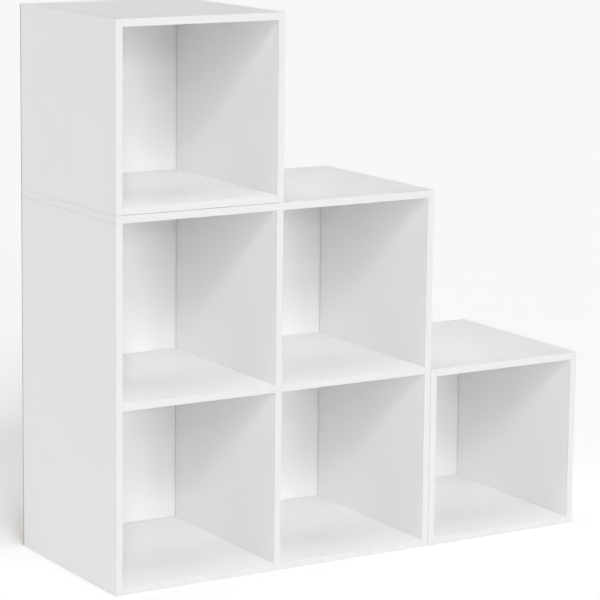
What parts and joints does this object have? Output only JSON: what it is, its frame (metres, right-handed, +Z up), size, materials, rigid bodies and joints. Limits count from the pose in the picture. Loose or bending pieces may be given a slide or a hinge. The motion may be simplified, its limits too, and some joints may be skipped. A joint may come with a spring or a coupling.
{
  "type": "cube bookcase",
  "caption": "Stepped cube bookcase of white melamine boards: a base of open cells with a cube on top and a cube beside it, closed backs, dowel and cam lock joints.",
  "frame": {"origin": "on the floor, below the middle of the whole bookcase's bounding box", "axes": "+Z up, the open cells face -Y, the steps go down towards +X"},
  "size_m": [1.0836, 0.4002, 1.0985],
  "materials": {
    "white_board": "white melamine-faced particleboard, satin, with white edge bands",
    "white_hardboard": "thin hardboard, white lacquer inside, bare brown edges and rear",
    "beech_dowel": "bare fluted beech",
    "zinc_cam": "die-cast zinc, satin",
    "steel_bolt": "bright zinc-plated steel"
  },
  "bodies": {
    "root": {"base_back": "white_hardboard", "base_bottom_left_bolt": "steel_bolt", "base_bottom_left_cam": "zinc_cam", "base_bottom_left_dowel": "beech_dowel", "base_bottom_panel": "white_board", "base_bottom_right_bolt": "steel_bolt", "base_bottom_right_cam": "zinc_cam", "base_bottom_right_dowel": "beech_dowel", "base_left_side": "white_board", "base_lower_divider": "white_board", "base_middle_shelf": "white_board", "base_right_side": "white_board", "base_shelf_front_through_dowel": "beech_dowel", "base_shelf_left_front_dowel": "beech_dowel", "base_shelf_left_rear_dowel": "beech_dowel", "base_shelf_rear_through_dowel": "beech_dowel", "base_shelf_right_front_dowel": "beech_dowel", "base_shelf_right_rear_dowel": "beech_dowel", "base_top_left_front_dowel": "beech_dowel", "base_top_left_rear_dowel": "beech_dowel", "base_top_panel": "white_board", "base_top_right_front_dowel": "beech_dowel", "base_top_right_rear_dowel": "beech_dowel", "base_upper_divider": "white_board", "side_cube_back": "white_hardboard", "side_cube_bottom_left_bolt": "steel_bolt", "side_cube_bottom_left_cam": "zinc_cam", "side_cube_bottom_left_dowel": "beech_dowel", "side_cube_bottom_panel": "white_board", "side_cube_bottom_right_bolt": "steel_bolt", "side_cube_bottom_right_cam": "zinc_cam", "side_cube_bottom_right_dowel": "beech_dowel", "side_cube_left_side": "white_board", "side_cube_right_side": "white_board", "side_cube_top_left_bolt": "steel_bolt", "side_cube_top_left_cam": "zinc_cam", "side_cube_top_left_dowel": "beech_dowel", "side_cube_top_panel": "white_board", "side_cube_top_right_bolt": "steel_bolt", "side_cube_top_right_cam": "zinc_cam", "side_cube_top_right_dowel": "beech_dowel", "top_cube_back": "white_hardboard", "top_cube_bottom_left_bolt": "steel_bolt", "top_cube_bottom_left_cam": "zinc_cam", "top_cube_bottom_left_dowel": "beech_dowel", "top_cube_bottom_panel": "white_board", "top_cube_bottom_right_bolt": "steel_bolt", "top_cube_bottom_right_cam": "zinc_cam", "top_cube_bottom_right_dowel": "beech_dowel", "top_cube_left_side": "white_board", "top_cube_right_side": "white_board", "top_cube_top_left_bolt": "steel_bolt", "top_cube_top_left_cam": "zinc_cam", "top_cube_top_left_dowel": "beech_dowel", "top_cube_top_panel": "white_board", "top_cube_top_right_bolt": "steel_bolt", "top_cube_top_right_cam": "zinc_cam", "top_cube_top_right_dowel": "beech_dowel"}
  },
  "joints": []
}
